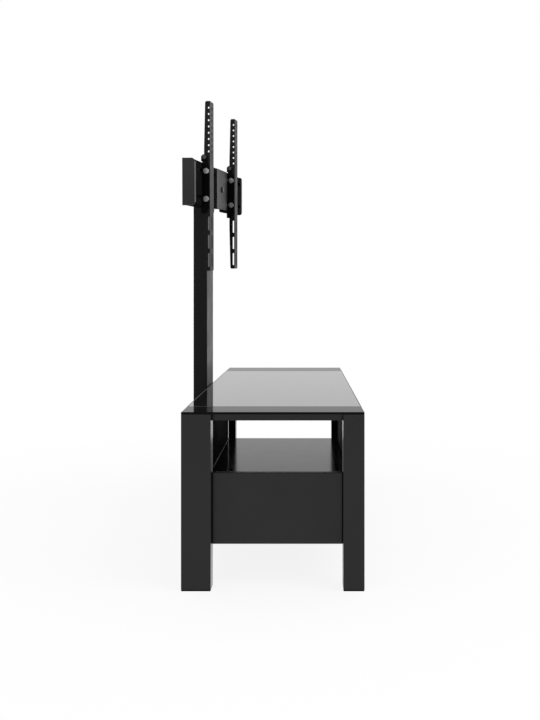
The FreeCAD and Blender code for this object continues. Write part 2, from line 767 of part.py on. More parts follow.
def bracket_bolt_places():
    return [
        (size.bracket_bolt_offset * side, size.head_height + size.bracket_bolt_level * up)
        for side in SIDES.values()
        for up in LUG_SIDES
    ]


def bracket_bolt_holes(name):
    """Holes for the swivel bracket's bolts through its plate and the post's front wall."""
    diameter = size.bracket_bolt_diameter + size.bolt_clearance * 2
    start = post_front - size.plate_thickness
    length = size.plate_thickness + size.post_wall
    return [
        rod(name + "_bracket_hole", diameter, length, (x, start, z), along="y")
        for x, z in bracket_bolt_places()
    ]


def lug(name, reach, level, up, frame, at_height, from_rear):
    """A sheet with a round end on the swivel axis, joined to a plate in front or behind."""
    low, high = ordered(at_height + level * up, at_height + (level + size.lug_thickness) * up)
    centre = axis_place if frame == STAND else as_size(0)
    tongue_low, tongue_high = (centre, centre + reach) if from_rear else (centre - reach, centre)
    radius = size.lug_radius
    tongue = block(name, (-radius, tongue_low, low), (radius, tongue_high, high), frame)
    end = rod(name + "_end", radius * 2, size.lug_thickness, (0, centre, low), frame)
    hole = rod(name + "_hole", lug_hole, size.lug_thickness, (0, centre, low), frame)
    return cut(name + "_lug", fuse(name + "_blank", [tongue, end]), [hole])


def make_swivel():
    """A bracket on the post, a yoke in front of it, and the pin that joins their lugs."""
    half = size.plate_width / 2
    reach = size.bracket_height / 2
    plate = block(
        "bracket_plate",
        (-half, post_front - size.plate_thickness, size.head_height - reach),
        (half, post_front, size.head_height + reach),
    )
    plate = cut("bracket_drilled", plate, bracket_bolt_holes("bracket"))
    tongue = size.axis_reach - size.plate_thickness
    lugs = [
        lug("fixed", tongue, size.lug_level, up, STAND, size.head_height, True) for up in LUG_SIDES
    ]
    keep("swivel_bracket", fuse("swivel_bracket", [plate] + lugs))
    bolts = []
    for x, z in bracket_bolt_places():
        face = post_front - size.plate_thickness
        head_low = face - size.bracket_bolt_head_height
        head = rod("head", size.bracket_bolt_head, size.bracket_bolt_head_height, (x, head_low, z), along="y")
        length = size.plate_thickness + size.post_wall * 2
        shank = rod("shank", size.bracket_bolt_diameter, length, (x, face, z), along="y")
        bolts.append(fuse("bracket_bolt", [head, shank]))
    keep("swivel_bracket_bolts", group("swivel_bracket_bolts", bolts))

    pin_top = size.head_height + size.lug_level + size.lug_thickness
    pin_end = size.head_height - size.lug_level - size.lug_thickness - size.clip_thickness * 2
    shank = rod("pin_shank", size.pin_diameter, pin_top - pin_end, (0, axis_place, pin_end))
    head = rod("pin_head", size.pin_head_diameter, size.pin_head_height, (0, axis_place, pin_top))
    keep("swivel_pin", fuse("swivel_pin", [shank, head]))
    clip_low = size.head_height - size.lug_level - size.lug_thickness - size.clip_thickness
    ring = rod("clip_ring", size.pin_head_diameter, size.clip_thickness, (0, axis_place, clip_low))
    bore = rod("clip_bore", lug_hole, size.clip_thickness, (0, axis_place, clip_low))
    keep("swivel_clip", cut("swivel_clip", ring, [bore]))

    plate_front = size.rail_wall + size.moving_gap
    plate_rear = plate_front + size.plate_thickness
    reach = size.yoke_height / 2
    plate = block("yoke_plate", (-half, plate_front, -reach), (half, plate_rear, reach), PITCHED)
    bolt_bore = size.level_bolt_diameter + size.pin_clearance * 2
    hole = rod("yoke_hole", bolt_bore, size.plate_thickness, (0, plate_front, 0), PITCHED, "y")
    plate = cut("yoke_drilled", plate, [hole])
    washer_face = size.lug_level - size.moving_gap
    lug_start = washer_face - size.washer_thickness - size.lug_thickness
    tongue = size.rail_reach - plate_rear + size.plate_thickness / 2
    lugs = [lug("moving", tongue, lug_start, up, YOKE, as_size(0), False) for up in LUG_SIDES]
    keep("swivel_yoke", fuse("swivel_yoke", [plate] + lugs))
    washers = []
    for up in LUG_SIDES:
        low, high = ordered(washer_face * up, (washer_face - size.washer_thickness) * up)
        disc = rod("washer_disc", size.lug_radius * 2, size.washer_thickness, (0, 0, low), YOKE)
        bore = rod("washer_bore", lug_hole, size.washer_thickness, (0, 0, low), YOKE)
        washers.append(cut("washer", disc, [bore]))
    keep("swivel_washers", group("swivel_washers", washers))


# Mount head, in its own frame: X along the rail, Y to the rear from the rail's front face, Z up
def make_rail():
    """A channel, open to the rear, with slots in its face and no flanges in its middle."""
    rail = body("mount_rail")
    rise = size.rail_height / 2
    wall = size.rail_wall
    deep = size.rail_depth
    profile = sketch(rail, "YZ_Plane", "rail_profile")
    outline = [(0, -rise), (deep, -rise), (deep, wall - rise), (wall, wall - rise)]
    outline += [(wall, rise - wall), (deep, rise - wall), (deep, rise), (0, rise)]
    polygon(profile, outline)
    pad(rail, profile, size.rail_length, both_ways=True)
    bend(rail, 0, rise, size.rail_bend)
    bend(rail, wall, rise - wall, size.rail_bend - wall)
    half = size.rail_notch / 2
    notch = sketch(rail, "XY_Plane", "rail_notch_outline")
    rectangle(notch, (-half, wall), (half, deep + wall))
    pocket(rail, notch)
    inner = size.rail_slot_inner + size.rail_slot_height / 2
    outer = size.rail_length / 2 - size.rail_slot_margin - size.rail_slot_height / 2
    slots = sketch(rail, "XZ_Plane", "rail_slots")
    for side in SIDES.values():
        for up in LUG_SIDES:
            level = size.rail_slot_level * up
            long_hole(slots, (inner * side, level), (outer * side, level), size.rail_slot_height)
    circle(slots, (0, 0), size.level_bolt_diameter + size.bolt_clearance * 2)
    pocket(rail, slots)
    place(rail, (0, 0, 0), HEAD)
    keep("mount_rail", rail)

    for name, side in SIDES.items():
        end = size.rail_length / 2
        low, high = across(end, end + size.rail_cap_thickness, side)
        rear = deep + size.rail_cap_lip
        cover = block("rail_cap_cover", (low, 0, -half_cap), (high, rear, half_cap), HEAD)
        doc.recompute()
        cover = edged("rail_cap_rounded", cover, size.rail_bend, front_corner, "Part::Fillet")
        low, high = across(end - size.rail_cap_plug, end, side)
        inside = rise - size.rail_bend
        plug = block("rail_cap_plug", (low, wall, -inside), (high, deep - wall, inside), HEAD)
        label = f"rail_cap_{name}"
        keep(label, fuse(label, [cover, plug]))
        low, high = across(half, end, side)
        label = f"rail_cover_{name}"
        cover_front = deep - size.rail_cover_thickness
        inside = rise - wall
        keep(label, block(label, (low, cover_front, -inside), (high, deep, inside), HEAD))

    half = size.centre_plate_width / 2
    front = -size.centre_plate_thickness
    tall = size.centre_plate_height / 2
    plate = block("centre_plate_blank", (-half, front, -tall), (half, 0, tall), HEAD)
    bore = size.level_bolt_diameter + size.bolt_clearance * 2
    hole = rod("centre_hole", bore, size.centre_plate_thickness, (0, front, 0), HEAD, "y")
    keep("centre_plate", cut("centre_plate", plate, [hole]))

    head_front = front - size.level_head_height
    head = rod("level_head", size.level_head_diameter, size.level_head_height, (0, head_front, 0), HEAD, "y")
    nut_face = wall + size.moving_gap * 2 + size.plate_thickness
    length = nut_face + size.level_nut_height - front
    shank = rod("level_shank", size.level_bolt_diameter, length, (0, front, 0), HEAD, "y")
    nut = rod("level_nut", size.level_nut_diameter, size.level_nut_height, (0, nut_face, 0), HEAD, "y")
    keep("level_bolt", fuse("level_bolt", [head, shank, nut]))


def front_corner(edge):
    """Whether an edge of the turned end cap runs along the rail in the plane of the rail's face."""
    to_head = nodes["mount_rail"].Placement.inverse()
    first, last = (to_head.multVec(vertex.Point) for vertex in (edge.Vertexes[0], edge.Vertexes[-1]))
    return max(abs(first.y), abs(last.y), abs(first.z - last.z)) < Part.Precision.approximation()


rail_rise = size.rail_height / 2
tilt_hole = size.tilt_bolt_diameter + size.pin_clearance * 2


def make_hook(name, at):
    """A sheet bracket with claws over and under the rail and a slotted side plate."""
    hook = body(f"hook_bracket_{name}")
    front = -size.hook_front
    ear = -size.hook_ear_width + size.hook_claw
    face = -size.hook_gap
    claw = size.hook_claw
    grip = rail_rise + size.hook_gap
    top = rail_rise + size.hook_rise
    bottom = -rail_rise - size.hook_drop
    corner = size.hook_corner
    side = sketch(hook, "YZ_Plane", f"hook_side_{name}")
    outline = [(front, -rail_rise), (front, rail_rise - size.hook_rise), (ear, rail_rise)]
    outline += [(ear, top - corner), (ear + corner, top), (claw - corner, top), (claw, top - corner)]
    outline += [(claw, grip), (face, grip)]
    foot = size.hook_foot_corner
    outline += [(face, -grip), (claw, -grip), (claw, bottom + foot), (claw - foot, bottom)]
    outline += [(size.hook_claw - size.hook_foot_width, bottom)]
    polygon(side, outline)
    pad(hook, side, size.hook_sheet)
    flange = sketch(hook, "XZ_Plane", f"hook_flange_{name}", size.hook_gap)
    low = (size.hook_sheet, size.hook_flange_bottom)
    rectangle(flange, low, (size.hook_sheet + size.hook_flange_width, size.hook_flange_top))
    joint = sketch(hook, "XZ_Plane", f"hook_fold_{name}", size.hook_gap)
    rectangle(joint, (0, size.hook_flange_bottom), (size.hook_sheet, size.hook_flange_top))
    pad(hook, joint, size.hook_sheet)
    pad(hook, flange, size.hook_sheet)
    holes = sketch(hook, "YZ_Plane", f"hook_holes_{name}")
    circle(holes, (-size.tilt_reach, -size.tilt_level - size.tilt_drop), tilt_hole)
    level = size.tilt_level - size.tilt_drop
    slot_front = (-size.tilt_reach - size.tilt_travel, level)
    long_hole(holes, slot_front, (-size.tilt_reach, level), size.tilt_slot_height)
    screw_hole = size.ear_screw_diameter + size.bolt_clearance * 2
    circle(holes, (-size.ear_screw_reach, rail_rise + size.ear_screw_rise), screw_hole)
    pocket(hook, holes)
    bolt = sketch(hook, "XZ_Plane", f"hook_bolt_hole_{name}")
    bolt_middle = size.hook_sheet + size.slide_bolt_place
    circle(bolt, (bolt_middle, size.rail_slot_level), size.slide_bolt_diameter + size.bolt_clearance * 2)
    pocket(hook, bolt)
    place(hook, (at, 0, 0), HEAD)
    keep(f"hook_bracket_{name}", hook)

    x = at + bolt_middle
    z = size.rail_slot_level
    flange_front = -size.hook_gap - size.hook_sheet
    head_front = flange_front - size.slide_bolt_head_height
    head_height = size.slide_bolt_head_height
    head = rod("slide_head", size.slide_bolt_head, head_height, (x, head_front, z), HEAD, "y")
    nut_face = size.rail_wall + size.moving_gap
    length = nut_face + size.slide_nut_height - flange_front
    shank = rod("slide_shank", size.slide_bolt_diameter, length, (x, flange_front, z), HEAD, "y")
    nut = rod("slide_nut", size.slide_bolt_head, size.slide_nut_height, (x, nut_face, z), HEAD, "y")
    keep(f"slide_bolt_{name}", fuse(f"slide_bolt_{name}", [head, shank, nut]))

    y = -size.ear_screw_reach
    z = rail_rise + size.ear_screw_rise
    head_height = size.ear_screw_head_height
    head = rod("ear_head", size.ear_screw_head, head_height, (at - head_height, y, z), HEAD, "x")
    shank = rod("ear_shank", size.ear_screw_diameter, size.hook_sheet, (at, y, z), HEAD, "x")
    keep(f"safety_screw_{name}", fuse(f"safety_screw_{name}", [head, shank]))


def make_arm(name, at):
    """An angle bar with a row of holes and a row of slots in both flanges, and its two tilt bolts."""
    arm = body(f"vesa_arm_{name}")
    half = size.arm_length / 2
    front = -size.arm_reach
    deep = front + size.arm_depth
    deep_half = size.arm_deep_length / 2
    shallow = front + size.arm_end_depth
    corner = size.arm_corner
    wall = size.arm_wall
    side = sketch(arm, "YZ_Plane", f"arm_side_{name}")
    outline = [(front, -half), (shallow - corner, -half), (shallow, corner - half), (deep, -deep_half)]
    outline += [(deep, deep_half), (shallow, half - corner), (shallow - corner, half), (front, half)]
    polygon(side, outline)
    pad(arm, side, wall)
    face = sketch(arm, "XZ_Plane", f"arm_face_{name}", size.arm_reach - wall)
    wide = size.arm_width
    outline = [(0, -half), (wide - corner, -half), (wide, corner - half)]
    outline += [(wide, half - corner), (wide - corner, half), (0, half)]
    polygon(face, outline)
    pad(arm, face, wall)
    side_line = front + size.side_hole_reach
    face_line = (wide + wall) / 2
    lowest_hole = half - size.hole_margin - size.hole_pitch * (size.hole_count.value - 1)
    flanges = (
        ("side", "YZ_Plane", side_line, size.side_hole_diameter),
        ("face", "XZ_Plane", face_line, size.hole_diameter),
    )
    for flange, role, line, width in flanges:
        hole = sketch(arm, role, f"arm_{flange}_hole_{name}")
        circle(hole, (line, lowest_hole), width)
        row_of(arm, pocket_one(arm, hole, flange), size.hole_count, size.hole_pitch)
        slot = sketch(arm, role, f"arm_{flange}_slot_{name}")
        slot_low = size.arm_slot_margin + width / 2 - half
        long_hole(slot, (line, slot_low), (line, slot_low + size.arm_slot_length - width), width)
        row_of(arm, pocket_one(arm, slot, flange), size.arm_slot_count, size.arm_slot_pitch)
    bolts = sketch(arm, "YZ_Plane", f"arm_bolts_{name}")
    for up in LUG_SIDES:
        level = size.tilt_level * up - size.tilt_drop + size.arm_drop
        circle(bolts, (-size.tilt_reach, level), tilt_hole)
    pocket_one(arm, bolts, "side")
    start = at + size.hook_sheet + size.moving_gap
    place(arm, (start, 0, -size.arm_drop), HEAD)
    keep(f"vesa_arm_{name}", arm)

    for label, up in (("tilt_lock", 1), ("tilt_pivot", -1)):
        y, z = -size.tilt_reach, size.tilt_level * up - size.tilt_drop
        shank_start = at - size.moving_gap
        head_start = shank_start - size.tilt_head_height
        head_height = size.tilt_head_height
        head = rod(label + "_head", size.tilt_head_diameter, head_height, (head_start, y, z), HEAD, "x")
        nut_face = start + wall
        length = nut_face + size.tilt_nut_height - shank_start
        shank = rod(label + "_shank", size.tilt_bolt_diameter, length, (shank_start, y, z), HEAD, "x")
        nut = rod(label + "_nut", size.tilt_nut_diameter, size.tilt_nut_height, (nut_face, y, z), HEAD, "x")
        keep(f"{label}_bolt_{name}", fuse(f"{label}_bolt_{name}", [head, shank, nut]))


def pocket_one(owner, profile, flange):
    """Cuts an outline through one flange only, by the flange's own depth from the sketch plane."""
    before = owner.Shape.Volume
    item = owner.newObject("PartDesign::Pocket", profile.Name + "_pocket")
    item.Profile = profile
    reach = size.arm_wall if flange == "side" else size.arm_reach
    item.setExpression("Length", reach.text)
    item.Reversed = True
    doc.recompute()
    if owner.Shape.Volume >= before:
        raise RuntimeError(f"{profile.Name} cuts nothing")
    return item


def make_head():
    make_rail()
    hole_line = size.hook_sheet + size.moving_gap + (size.arm_width + size.arm_wall) / 2
    left = -size.left_arm_place - hole_line
    for name, at in (("left", left), ("right", left + size.arm_spacing)):
        make_hook(name, at)
        make_arm(name, at)


make_legs()
make_top()
make_boards()
make_grommets()
for side_name, side_sign in SIDES.items():
    make_door(side_name, side_sign)
make_catches()
make_post()
make_swivel()
make_head()
doc.recompute()

for item in doc.Objects:
    if {"Invalid", "Error"} & set(item.State):
        raise RuntimeError(f"{item.Label} failed: {item.State}")
for label, item in nodes.items():
    if item.Shape.isNull() or not item.Shape.isValid():
        raise RuntimeError(f"{label} has no valid shape")

os.makedirs("parts", exist_ok=True)
for label, item in nodes.items():
    item.Shape.exportStep(f"parts/{label}.step")
print(f"{len(nodes)} sub-parts written")
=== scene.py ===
import json
import math

import bmesh
import bpy
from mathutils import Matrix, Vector


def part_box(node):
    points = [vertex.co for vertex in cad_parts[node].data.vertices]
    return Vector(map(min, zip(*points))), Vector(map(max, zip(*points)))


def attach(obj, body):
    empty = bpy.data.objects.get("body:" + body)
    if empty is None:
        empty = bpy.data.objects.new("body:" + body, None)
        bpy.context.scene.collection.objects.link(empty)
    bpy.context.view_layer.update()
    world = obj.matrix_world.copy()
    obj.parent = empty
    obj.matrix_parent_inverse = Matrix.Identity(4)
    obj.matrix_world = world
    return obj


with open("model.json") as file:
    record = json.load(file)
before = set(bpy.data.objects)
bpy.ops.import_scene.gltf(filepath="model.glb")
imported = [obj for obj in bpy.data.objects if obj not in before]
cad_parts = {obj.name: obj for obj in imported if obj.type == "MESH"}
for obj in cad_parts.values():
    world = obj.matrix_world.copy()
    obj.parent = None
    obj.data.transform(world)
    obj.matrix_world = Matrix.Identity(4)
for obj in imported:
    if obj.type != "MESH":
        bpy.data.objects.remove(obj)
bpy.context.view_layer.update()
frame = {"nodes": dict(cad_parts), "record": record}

scene = bpy.context.scene
scene.view_settings.view_transform = "Standard"
nodes = frame["nodes"]
ROOT = "stand"
SIDES = ("left", "right")
WHITE = (1.0, 1.0, 1.0, 1.0)

# Where most of a noise texture's values lie, and the colour sockets of a Mix node
NOISE_LOW, NOISE_HIGH = 0.3, 0.7
MIX_FACTOR, MIX_FIRST, MIX_SECOND, MIX_RESULT = 0, 6, 7, 2


# Node helpers
class Tree:
    """Adds and links the nodes of one emptied node tree."""

    def __init__(self, tree):
        self.tree = tree
        tree.nodes.clear()

    def add(self, kind, **values):
        """A new node with its properties set."""
        node = self.tree.nodes.new(kind)
        for name, value in values.items():
            setattr(node, name, value)
        return node

    def link(self, start, end):
        self.tree.links.new(start, end)

    def spread(self, value, low, high, start=NOISE_LOW, end=NOISE_HIGH):
        """A value between start and end, spread from low to high."""
        node = self.add("ShaderNodeMapRange")
        limits = {"From Min": start, "From Max": end, "To Min": low, "To Max": high}
        for name, number in limits.items():
            node.inputs[name].default_value = number
        self.link(value, node.inputs["Value"])
        return node.outputs["Result"]

    def combine(self, kind, first, second):
        """Two values put together by one Math node."""
        node = self.add("ShaderNodeMath", operation=kind)
        self.link(first, node.inputs[0])
        self.link(second, node.inputs[1])
        return node.outputs[0]

    def mix(self, factor, first, second):
        """Two shaders mixed by a factor."""
        node = self.add("ShaderNodeMixShader")
        for at, value in enumerate((factor, first, second)):
            self.link(value, node.inputs[at])
        return node.outputs[0]


class Shader(Tree):
    """A new material with one Principled shader."""

    def __init__(self, name):
        self.material = bpy.data.materials.new(name)
        self.material.use_nodes = True
        super().__init__(self.material.node_tree)
        output = self.add("ShaderNodeOutputMaterial")
        self.surface = self.add("ShaderNodeBsdfPrincipled")
        self.link(self.surface.outputs["BSDF"], output.inputs["Surface"])
        self.place = self.add("ShaderNodeTexCoord").outputs["Object"]

    def set(self, name, value):
        self.surface.inputs[name].default_value = value

    def stretched(self, scale):
        """The place on the piece with each axis scaled."""
        mapping = self.add("ShaderNodeMapping")
        mapping.inputs["Scale"].default_value = scale
        self.link(self.place, mapping.inputs["Vector"])
        return mapping.outputs["Vector"]

    def noise(self, scale, detail, roughness=0.55, vector=None):
        node = self.add("ShaderNodeTexNoise")
        node.inputs["Scale"].default_value = scale
        node.inputs["Detail"].default_value = detail
        node.inputs["Roughness"].default_value = roughness
        self.link(vector or self.place, node.inputs["Vector"])
        return node.outputs["Fac"]

    def colour(self, factor, dark, light):
        """Colours the surface from dark to light by a factor."""
        node = self.add("ShaderNodeMix", data_type="RGBA")
        node.inputs[MIX_FIRST].default_value = (*dark, 1.0)
        node.inputs[MIX_SECOND].default_value = (*light, 1.0)
        self.link(factor, node.inputs[MIX_FACTOR])
        self.link(node.outputs[MIX_RESULT], self.surface.inputs["Base Color"])

    def roughen(self, value):
        self.link(value, self.surface.inputs["Roughness"])

    def bump(self, height, strength, distance):
        node = self.add("ShaderNodeBump")
        node.inputs["Strength"].default_value = strength
        node.inputs["Distance"].default_value = distance
        self.link(height, node.inputs["Height"])
        self.link(node.outputs["Normal"], self.surface.inputs["Normal"])


# Patterns that all coats share: their scales, their shares of the shade and their ranges
CLOUD_SCALE = 4.5
CLOUD_SHARE = 0.75
DUST_SCALE = 260.0
DUST_SHARE = 0.25
DUST_RANGE = (0.45, 0.8)
SMEAR_SCALE = 16.0
GRAIN_SCALE = 900.0
GLOSS_RANGE = (0.12, 0.4)
COAT_BUMP = 0.0004


def coated(name, dark, light, rough, peel, depth, specular):
    """A sprayed coat: cloudy shade, uneven gloss, faint dust and a fine peel."""
    shader = Shader(name)
    cloud = shader.spread(shader.noise(CLOUD_SCALE, 2.0), 0.0, CLOUD_SHARE)
    dust = shader.spread(shader.noise(DUST_SCALE, 5.0, 0.7), 0.0, DUST_SHARE, *DUST_RANGE)
    shader.colour(shader.combine("ADD", cloud, dust), dark, light)
    smear = shader.noise(SMEAR_SCALE, 4.0)
    grain = shader.noise(GRAIN_SCALE, 2.0)
    shader.roughen(shader.spread(shader.combine("MULTIPLY", smear, grain), *rough, *GLOSS_RANGE))
    shader.bump(shader.noise(peel, 2.0), depth, COAT_BUMP)
    shader.set("Specular IOR Level", specular)
    return shader.material


WIPE_SCALE = 7.0
WIPE_STRETCH = (1.0, 3.0, 1.0)
WAVE_SCALE = 22.0
WAVE_DEPTH = 0.02
GLASS_IOR = 1.5


def polished(name, dark, light, rough):
    """Dark glass with the faint haze of wiped dust and a slight wave."""
    shader = Shader(name)
    wipe = shader.noise(WIPE_SCALE, 5.0, 0.6, shader.stretched(WIPE_STRETCH))
    shader.colour(shader.spread(wipe, 0.0, 1.0), dark, light)
    shader.roughen(shader.spread(wipe, *rough))
    shader.set("IOR", GLASS_IOR)
    shader.bump(shader.noise(WAVE_SCALE, 1.0), WAVE_DEPTH, COAT_BUMP)
    return shader.material


MOTTLE_SCALE = 420.0
LUSTRE_SCALE = 1500.0
PLATE_SCALE = 2600.0
PLATE_DEPTH = 0.15
PLATE_BUMP = 0.0002


def plated(name, dark, light, rough):
    """Zinc plate with a mottled shade, an uneven gloss and a fine grain."""
    shader = Shader(name)
    shader.colour(shader.spread(shader.noise(MOTTLE_SCALE, 4.0), 0.0, 1.0), dark, light)
    shader.roughen(shader.spread(shader.noise(LUSTRE_SCALE, 2.0), *rough))
    shader.set("Metallic", 1.0)
    shader.bump(shader.noise(PLATE_SCALE, 2.0), PLATE_DEPTH, PLATE_BUMP)
    return shader.material


def grey(level):
    return (level, level, level)


# One finish for each material slot of the record
MATERIALS = {
    "lacquered_wood": coated(
        "lacquer", grey(0.0045), grey(0.0075),
        rough=(0.19, 0.27), peel=1300.0, depth=0.08, specular=0.32),
    "black_board": coated(
        "board", grey(0.0012), grey(0.0025),
        rough=(0.7, 0.9), peel=700.0, depth=0.25, specular=0.008),
    "shelf_board": coated(
        "shelf_coat", grey(0.008), grey(0.014),
        rough=(0.13, 0.18), peel=1100.0, depth=0.005, specular=0.055),
    "end_plate": coated(
        "plate_coat", grey(0.005), grey(0.008),
        rough=(0.05, 0.09), peel=1600.0, depth=0.01, specular=0.014),
    "black_glass": polished(
        "dark_glass", (0.004, 0.004, 0.0045), (0.007, 0.007, 0.0075), rough=(0.02, 0.05)),
    "black_steel": coated(
        "powder_coat", grey(0.002), grey(0.004),
        rough=(0.34, 0.48), peel=2400.0, depth=0.22, specular=0.16),
    "grey_steel": coated(
        "grey_coat", (0.012, 0.012, 0.0125), (0.02, 0.02, 0.0205),
        rough=(0.34, 0.46), peel=2400.0, depth=0.2, specular=0.28),
    "plated_steel": plated(
        "zinc", (0.52, 0.52, 0.53), (0.7, 0.7, 0.71), rough=(0.26, 0.36)),
    "black_plastic": coated(
        "moulding", grey(0.008), grey(0.013),
        rough=(0.42, 0.56), peel=3200.0, depth=0.3, specular=0.3),
    "rubber": coated(
        "foot_rubber", grey(0.0015), grey(0.003),
        rough=(0.7, 0.85), peel=1800.0, depth=0.4, specular=0.02),
    "clear_rubber": coated(
        "bumper", grey(0.5), grey(0.62),
        rough=(0.2, 0.3), peel=900.0, depth=0.1, specular=0.5),
}

# Finishes of single pieces
RAIL = coated(
    "rail_coat", grey(0.007), grey(0.011),
    rough=(0.5, 0.62), peel=2400.0, depth=0.12, specular=0.0)
# Lighter grey on the doors' inner faces: painted bounce light in the shade inside the stand
BOUNCE_LIT_LINING = coated(
    "door_lining_painted_bounce_light", grey(0.04), grey(0.055),
    rough=(0.6, 0.75), peel=900.0, depth=0.15, specular=0.008)
DULL = plated(
    "dull_zinc", (0.09, 0.09, 0.092), (0.15, 0.15, 0.153), rough=(0.3, 0.42))
SCREW = plated(
    "black_zinc", (0.045, 0.045, 0.046), (0.08, 0.08, 0.081), rough=(0.26, 0.36))
GROUND = coated(
    "ground_edge", (0.06, 0.062, 0.062), (0.09, 0.092, 0.092),
    rough=(0.5, 0.65), peel=2600.0, depth=0.2, specular=0.1)
BEAD = coated(
    "seal_bead", grey(0.006), grey(0.011),
    rough=(0.5, 0.65), peel=900.0, depth=0.2, specular=0.02)
CAP = coated(
    "cap_moulding", grey(0.004), grey(0.007),
    rough=(0.26, 0.34), peel=3200.0, depth=0.1, specular=0.38)
# Lighter grey rims: a painted highlight on the rail caps' rounded front edges
HIGHLIGHT_RIM = coated(
    "rim_painted_highlight", grey(0.085), grey(0.115),
    rough=(0.4, 0.5), peel=3200.0, depth=0.1, specular=0.1)
DARK = coated(
    "dull_coat", grey(0.001), grey(0.0022),
    rough=(0.42, 0.56), peel=2400.0, depth=0.22, specular=0.05)
OWN = {"mount_rail": RAIL, "level_bolt": DULL}
for side in SIDES:
    OWN[f"hook_bracket_{side}"] = DARK
    OWN[f"rail_cover_{side}"] = DARK
    OWN[f"rail_cap_{side}"] = CAP
    OWN[f"slide_bolt_{side}"] = SCREW
    OWN[f"safety_screw_{side}"] = SCREW

# Finishes and soft edges on the frame's own pieces
PLAIN_EDGE = 0.0003
SLOT_EDGES = {"lacquered_wood": 0.0006, "black_glass": 0.0004, "end_plate": 0.0004}
NODE_EDGES = {"rail_cap_left": 0.0014, "rail_cap_right": 0.0014}
EDGE_STEPS = 3
EDGE_ANGLE = math.radians(40)
WELD_REACH = 0.00001
for part in frame["record"]["subparts"]:
    name, slot = part["node"], part["material_slot"]
    piece = nodes[name]
    piece.data.materials.clear()
    piece.data.materials.append(OWN.get(name, MATERIALS[slot]))
    weld = piece.modifiers.new("join", "WELD")
    weld.merge_threshold = WELD_REACH
    soften = piece.modifiers.new("edge", "BEVEL")
    soften.width = NODE_EDGES.get(name, SLOT_EDGES.get(slot, PLAIN_EDGE))
    soften.segments = EDGE_STEPS
    soften.limit_method = "ANGLE"
    soften.angle_limit = EDGE_ANGLE
    soften.use_clamp_overlap = True

# Small pieces
DOUBLES = 0.000001


def mesh_piece(name, body, finish, build):
    """A new piece from mesh code, with its finish, on its body."""
    data = bpy.data.meshes.new(name)
    shape = bmesh.new()
    build(shape)
    bmesh.ops.remove_doubles(shape, verts=shape.verts, dist=DOUBLES)
    bmesh.ops.recalc_face_normals(shape, faces=shape.faces)
    shape.to_mesh(data)
    shape.free()
    data.materials.append(finish)
    piece = bpy.data.objects.new(name, data)
    scene.collection.objects.link(piece)
    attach(piece, body)


def loft(shape, rings, closed):
    """Joins rings of points into one skin: a closed loop, or a bar with two end faces."""
    rows = [[shape.verts.new(point) for point in ring] for ring in rings]
    count = len(rows[0])
    pairs = list(zip(rows, rows[1:]))
    if closed:
        pairs.append((rows[-1], rows[0]))
    for first, second in pairs:
        for at in range(count):
            after = (at + 1) % count
            shape.faces.new((first[at], first[after], second[after], second[at]))
    if not closed:
        shape.faces.new(rows[0][::-1])
        shape.faces.new(rows[-1])


# Ground border of the glass
glass_low, glass_high = (Vector(corner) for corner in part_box("top_glass"))
BORDER = 0.0022
BORDER_FLARE = 1.15
BORDER_RISE = 0.00006
BORDER_DEPTH = 0.0003
EDGE_ROUND = 0.0004


def glass_border(shape):
    """A low frame with a slanting inner side, let into the glass along its edge."""
    top = glass_high.z + BORDER_RISE
    low = glass_high.z - BORDER_DEPTH
    section = ((EDGE_ROUND, low), (EDGE_ROUND, top), (BORDER, top), (BORDER * BORDER_FLARE, low))
    rings = []
    for inset, level in section:
        west, east = glass_low.x + inset, glass_high.x - inset
        south, north = glass_low.y + inset, glass_high.y - inset
        corners = ((west, south), (east, south), (east, north), (west, north))
        rings.append([(x, y, level) for x, y in corners])
    loft(shape, rings, True)


mesh_piece("glass_border", ROOT, GROUND, glass_border)

# Seal bead between back panel and shelf
back_low, back_high = (Vector(corner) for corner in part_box("back_panel"))
shelf_high = Vector(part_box("bottom_shelf")[1])
BEAD_LAP = 0.0008
BEAD_SINK = 0.0001
BEAD_END = 0.0005
BEAD_STEPS = 8


def seal_bead(shape):
    """A quarter-round bead from the shelf's rear edge up to the panel's foot."""
    front = shelf_high.y - BEAD_LAP
    rear = back_low.y + BEAD_LAP
    low = shelf_high.z - BEAD_SINK
    rise = back_low.z + BEAD_SINK - low
    rings = []
    for end in (back_low.x + BEAD_END, back_high.x - BEAD_END):
        ring = [(end, rear, low)]
        for step in range(BEAD_STEPS + 1):
            turn = math.radians(90) * step / BEAD_STEPS
            back = rear - (rear - front) * math.cos(turn)
            ring.append((end, back, low + rise * math.sin(turn)))
        rings.append(ring)
    loft(shape, rings, False)


mesh_piece("back_bead", ROOT, BEAD, seal_bead)

# Painted linings on the doors' inner faces, a lighter grey than the black doors: painted bounce
# light that lifts the shade inside the stand
LINING_INSET = 0.0015
LINING_THICKNESS = 0.0004
LINING_SINK = LINING_THICKNESS / 4
LINING_CORNER = 0.004
LINING_STEPS = 4


def lining(low, high):
    """A thin sheet with rounded corners on the rear face of the box from low to high."""
    inset = LINING_INSET + LINING_CORNER
    west, east = low.x + inset, high.x - inset
    foot, top = low.z + inset, high.z - inset

    def build(shape):
        outline = []
        for x, z, start in ((east, top, 0), (west, top, 90), (west, foot, 180), (east, foot, 270)):
            for step in range(LINING_STEPS + 1):
                turn = math.radians(start + 90 * step / LINING_STEPS)
                across = x + LINING_CORNER * math.cos(turn)
                outline.append((across, z + LINING_CORNER * math.sin(turn)))
        faces = (high.y - LINING_SINK, high.y + LINING_THICKNESS)
        loft(shape, [[(x, face, z) for x, z in outline] for face in faces], False)

    return build


for door in ("door_left", "door_right"):
    door_low, door_high = (Vector(corner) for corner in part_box(door))
    mesh_piece(f"{door}_lining", door, BOUNCE_LIT_LINING, lining(door_low, door_high))

